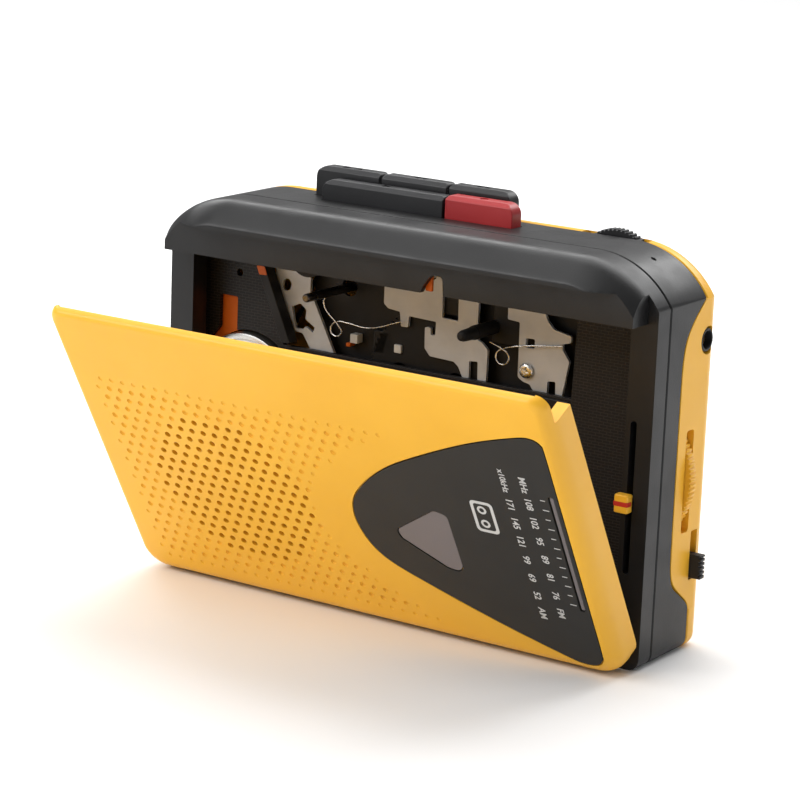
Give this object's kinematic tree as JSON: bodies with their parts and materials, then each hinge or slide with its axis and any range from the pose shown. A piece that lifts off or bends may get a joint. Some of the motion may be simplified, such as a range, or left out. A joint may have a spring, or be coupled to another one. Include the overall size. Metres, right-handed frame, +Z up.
{
  "type": "portable cassette player",
  "caption": "Portable cassette player with a radio, standing upright with its front door swung open to show the tape deck, keys along the top.",
  "frame": {"origin": "middle of the flat bottom of the case, halfway between the front of the closed door line and the back along Y = 0", "axes": "+X to the right seen from the door side, +Y from the door to the back, +Z up towards the keys"},
  "size_m": [0.1226, 0.0677, 0.0894],
  "materials": {
    "black_plastic": "black moulded plastic with a light satin grain",
    "deck_black": "black plastic, moulded with a fine brick texture on the deck",
    "yellow_plastic": "glossy yellow moulded plastic",
    "key_black": "dark satin plastic, lightly worn",
    "key_red": "dark red satin plastic",
    "scale_grey": "dark grey printed plate",
    "window_clear": "smoked clear plastic",
    "steel": "plated sheet steel and wire, slightly dulled",
    "motor_steel": "brushed steel can",
    "brass": "plain brass",
    "rubber": "black rubber",
    "white_plastic": "off-white engineering plastic",
    "ferrite": "dark sintered ferrite",
    "board_green": "green circuit board",
    "cell_wrap": "plain dark printed cell wrap"
  },
  "bodies": {
    "case": {"front_housing": "black_plastic", "middle_frame": "black_plastic", "rear_shell": "yellow_plastic", "deck_panel": "deck_black", "case_screw_1": "steel", "case_screw_2": "steel", "case_screw_3": "steel", "case_screw_4": "steel", "hinge_pin_left": "steel", "hinge_pin_right": "steel", "mechanism_plate": "deck_black", "left_plate": "steel", "guide_bar": "deck_black", "right_plate": "steel", "plate_screw": "brass", "locating_post": "deck_black", "left_wire_spring": "steel", "right_wire_spring": "steel", "key_spring": "steel", "motor": "motor_steel", "speaker": "motor_steel", "ferrite_rod": "ferrite", "main_board": "board_green", "tuning_capacitor": "white_plastic", "volume_pot": "steel", "band_switch": "steel", "headphone_jack": "key_black", "microphone": "steel", "battery_contact": "steel", "battery_spring": "steel", "drive_belt": "rubber", "battery_cell_left": "cell_wrap", "battery_cell_right": "cell_wrap"},
    "door": {"door_panel": "yellow_plastic", "scale_plate": "scale_grey", "tape_window": "window_clear", "scale_window": "window_clear", "tape_guide_left": "deck_black", "tape_guide_right": "deck_black", "tape_spring": "steel"},
    "battery_cover": {"battery_cover": "yellow_plastic"},
    "stop_key": {"key_stop": "key_black"},
    "rewind_key": {"key_rewind": "key_black"},
    "forward_key": {"key_fast_forward": "key_black"},
    "play_key": {"key_play": "key_black"},
    "record_key": {"key_record": "key_red"},
    "head_slide": {"head_plate": "steel", "tape_head": "motor_steel"},
    "pinch": {"pinch_arm": "steel"},
    "roller": {"pinch_roller": "rubber"},
    "supply": {"supply_spindle": "white_plastic"},
    "takeup": {"takeup_spindle": "white_plastic"},
    "idler": {"idler_wheel": "rubber"},
    "pulley": {"motor_pulley": "brass"},
    "flywheel": {"flywheel": "brass", "capstan": "steel"},
    "tuning": {"tuning_wheel": "yellow_plastic"},
    "pointer": {"tuning_pointer": "yellow_plastic"},
    "volume": {"volume_wheel": "key_black"},
    "switch": {"band_knob": "key_black"}
  },
  "joints": [
    {"name": "door_hinge", "type": "hinge", "parent": "case", "child": "door", "pos_m": [0, -0.0119, 0.0052], "axis": [1, 0, 0], "range_deg": [-29.75, 0]},
    {"name": "battery_cover_slide", "type": "slide", "parent": "case", "child": "battery_cover", "axis": [0, 1, 0], "range_m": [0, 0.02]},
    {"name": "stop_key_press", "type": "slide", "parent": "case", "child": "stop_key", "axis": [0, 0, -1], "range_m": [0, 0.0038], "stiffness_N_per_m": 120, "springref_m": -0.004},
    {"name": "rewind_key_press", "type": "slide", "parent": "case", "child": "rewind_key", "axis": [0, 0, -1], "range_m": [0, 0.0038], "stiffness_N_per_m": 120, "springref_m": -0.004},
    {"name": "forward_key_press", "type": "slide", "parent": "case", "child": "forward_key", "axis": [0, 0, -1], "range_m": [0, 0.0038], "stiffness_N_per_m": 120, "springref_m": -0.004},
    {"name": "play_key_press", "type": "slide", "parent": "case", "child": "play_key", "axis": [0, 0, -1], "range_m": [0, 0.0034], "stiffness_N_per_m": 120, "springref_m": -0.004},
    {"name": "record_key_press", "type": "slide", "parent": "case", "child": "record_key", "axis": [0, 0, -1], "range_m": [0, 0.0034], "stiffness_N_per_m": 120, "springref_m": -0.004},
    {"name": "head_slide_travel", "type": "slide", "parent": "case", "child": "head_slide", "axis": [0, 0, -1], "range_m": [0, 0.0034]},
    {"name": "pinch_arm_swing", "type": "hinge", "parent": "case", "child": "pinch", "pos_m": [-0.034, 0, 0.0742], "axis": [0, 1, 0], "range_deg": [0, 16]},
    {"name": "roller_spin", "type": "hinge", "parent": "pinch", "child": "roller", "pos_m": [-0.0225, 0, 0.0736], "axis": [0, 1, 0], "continuous": true},
    {"name": "supply_spin", "type": "hinge", "parent": "case", "child": "supply", "pos_m": [-0.02125, 0, 0.0355], "axis": [0, 1, 0], "continuous": true},
    {"name": "takeup_spin", "type": "hinge", "parent": "case", "child": "takeup", "pos_m": [0.02125, 0, 0.0355], "axis": [0, 1, 0], "continuous": true},
    {"name": "idler_spin", "type": "hinge", "parent": "case", "child": "idler", "pos_m": [0.0006, 0, 0.0486], "axis": [0, 1, 0], "continuous": true},
    {"name": "pulley_spin", "type": "hinge", "parent": "case", "child": "pulley", "pos_m": [-0.0436, 0, 0.04], "axis": [0, 1, 0], "continuous": true},
    {"name": "flywheel_spin", "type": "hinge", "parent": "case", "child": "flywheel", "pos_m": [-0.0212, 0, 0.065], "axis": [0, 1, 0], "continuous": true},
    {"name": "tuning_turn", "type": "hinge", "parent": "case", "child": "tuning", "pos_m": [0.0454, 0, 0.0363], "axis": [0, 1, 0], "range_deg": [-108, 96]},
    {"name": "pointer_travel", "type": "slide", "parent": "case", "child": "pointer", "axis": [0, 0, 1], "range_m": [-0.0134, 0.0152]},
    {"name": "volume_turn", "type": "hinge", "parent": "case", "child": "volume", "pos_m": [0.038, 0, 0.0754], "axis": [0, 1, 0], "range_deg": [-120, 120]},
    {"name": "switch_travel", "type": "slide", "parent": "case", "child": "switch", "axis": [0, 0, 1], "range_m": [0, 0.0044]}
  ],
  "couplings": [
    {"joint": "head_slide_travel", "follows": "play_key_press", "ratio": 1},
    {"joint": "pinch_arm_swing", "follows": "play_key_press", "rad_per_m": 80.49},
    {"joint": "pulley_spin", "follows": "flywheel_spin", "ratio": 3.089},
    {"joint": "pointer_travel", "follows": "tuning_turn", "m_per_rad": -0.0078}
  ]
}
